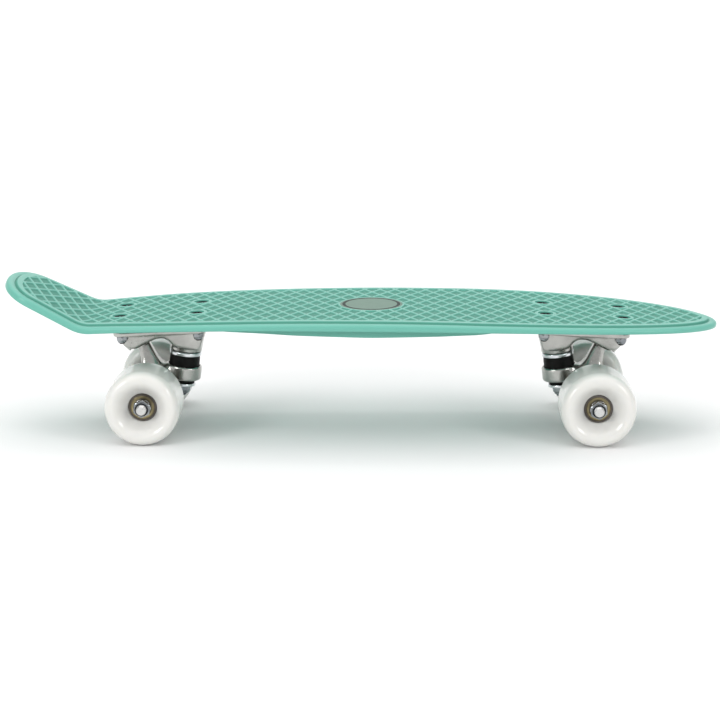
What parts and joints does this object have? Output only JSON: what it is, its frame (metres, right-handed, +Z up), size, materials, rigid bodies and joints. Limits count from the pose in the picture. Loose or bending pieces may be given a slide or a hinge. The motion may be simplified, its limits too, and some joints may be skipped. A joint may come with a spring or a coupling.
{
  "type": "cruiser skateboard",
  "caption": "Short moulded plastic cruiser skateboard with a kicked tail, waffle grip deck, sprung steering trucks and soft wheels on ball bearings.",
  "frame": {"origin": "on the ground, under the middle of the board's length and width", "axes": "+X along the board from the tail to the nose, +Y to the rider's left with the nose ahead, +Z up"},
  "size_m": [0.5686, 0.1526, 0.1214],
  "materials": {
    "deck_plastic": "satin mint moulded plastic",
    "cast_aluminium": "satin cast",
    "zinc_steel": "bright zinc plate",
    "black_steel": "black oxide",
    "bushing_urethane": "black, satin",
    "wheel_urethane": "glossy, slightly translucent white",
    "bearing_steel": "dark race with a brass-yellow shield"
  },
  "bodies": {
    "board": {"deck": "deck_plastic", "tail_bolt_outer_left": "black_steel", "tail_bolt_nut_outer_left": "zinc_steel", "tail_bolt_outer_right": "black_steel", "tail_bolt_nut_outer_right": "zinc_steel", "tail_bolt_inner_left": "black_steel", "tail_bolt_nut_inner_left": "zinc_steel", "tail_bolt_inner_right": "black_steel", "tail_bolt_nut_inner_right": "zinc_steel", "tail_baseplate": "cast_aluminium", "tail_kingpin": "zinc_steel", "tail_pivot_cup": "bushing_urethane", "tail_board_cup_washer": "zinc_steel", "tail_board_bushing": "bushing_urethane", "tail_road_bushing": "bushing_urethane", "tail_road_cup_washer": "zinc_steel", "tail_kingpin_nut": "zinc_steel", "nose_bolt_outer_left": "black_steel", "nose_bolt_nut_outer_left": "zinc_steel", "nose_bolt_outer_right": "black_steel", "nose_bolt_nut_outer_right": "zinc_steel", "nose_bolt_inner_left": "black_steel", "nose_bolt_nut_inner_left": "zinc_steel", "nose_bolt_inner_right": "black_steel", "nose_bolt_nut_inner_right": "zinc_steel", "nose_baseplate": "cast_aluminium", "nose_kingpin": "zinc_steel", "nose_pivot_cup": "bushing_urethane", "nose_board_cup_washer": "zinc_steel", "nose_board_bushing": "bushing_urethane", "nose_road_bushing": "bushing_urethane", "nose_road_cup_washer": "zinc_steel", "nose_kingpin_nut": "zinc_steel"},
    "tail_steered": {"tail_hanger": "cast_aluminium", "tail_axle": "zinc_steel", "tail_left_speed_washer": "zinc_steel", "tail_left_axle_nut": "zinc_steel", "tail_right_speed_washer": "zinc_steel", "tail_right_axle_nut": "zinc_steel"},
    "nose_steered": {"nose_hanger": "cast_aluminium", "nose_axle": "zinc_steel", "nose_left_speed_washer": "zinc_steel", "nose_left_axle_nut": "zinc_steel", "nose_right_speed_washer": "zinc_steel", "nose_right_axle_nut": "zinc_steel"},
    "tail_left_rolling": {"tail_left_wheel": "wheel_urethane", "tail_left_inner_bearing": "bearing_steel", "tail_left_outer_bearing": "bearing_steel"},
    "tail_right_rolling": {"tail_right_wheel": "wheel_urethane", "tail_right_inner_bearing": "bearing_steel", "tail_right_outer_bearing": "bearing_steel"},
    "nose_left_rolling": {"nose_left_wheel": "wheel_urethane", "nose_left_inner_bearing": "bearing_steel", "nose_left_outer_bearing": "bearing_steel"},
    "nose_right_rolling": {"nose_right_wheel": "wheel_urethane", "nose_right_inner_bearing": "bearing_steel", "nose_right_outer_bearing": "bearing_steel"}
  },
  "joints": [
    {"name": "tail_steer", "type": "hinge", "parent": "board", "child": "tail_steered", "pos_m": [-0.18056, 0, 0.06891], "axis": [-0.8297, 0, 0.5582], "range_deg": [-12, 12], "stiffness_Nm_per_rad": 30, "deforming": ["tail_board_bushing", "tail_road_bushing"]},
    {"name": "nose_steer", "type": "hinge", "parent": "board", "child": "nose_steered", "pos_m": [0.19683, 0, 0.06891], "axis": [0.8297, 0, 0.5582], "range_deg": [-12, 12], "stiffness_Nm_per_rad": 30, "deforming": ["nose_board_bushing", "nose_road_bushing"]},
    {"name": "tail_left_wheel_spin", "type": "hinge", "parent": "tail_steered", "child": "tail_left_rolling", "pos_m": [-0.16955, 0.053, 0.0295], "axis": [0, 1, 0], "continuous": true},
    {"name": "tail_right_wheel_spin", "type": "hinge", "parent": "tail_steered", "child": "tail_right_rolling", "pos_m": [-0.16955, -0.053, 0.0295], "axis": [0, 1, 0], "continuous": true},
    {"name": "nose_left_wheel_spin", "type": "hinge", "parent": "nose_steered", "child": "nose_left_rolling", "pos_m": [0.18581, 0.053, 0.0295], "axis": [0, 1, 0], "continuous": true},
    {"name": "nose_right_wheel_spin", "type": "hinge", "parent": "nose_steered", "child": "nose_right_rolling", "pos_m": [0.18581, -0.053, 0.0295], "axis": [0, 1, 0], "continuous": true}
  ]
}
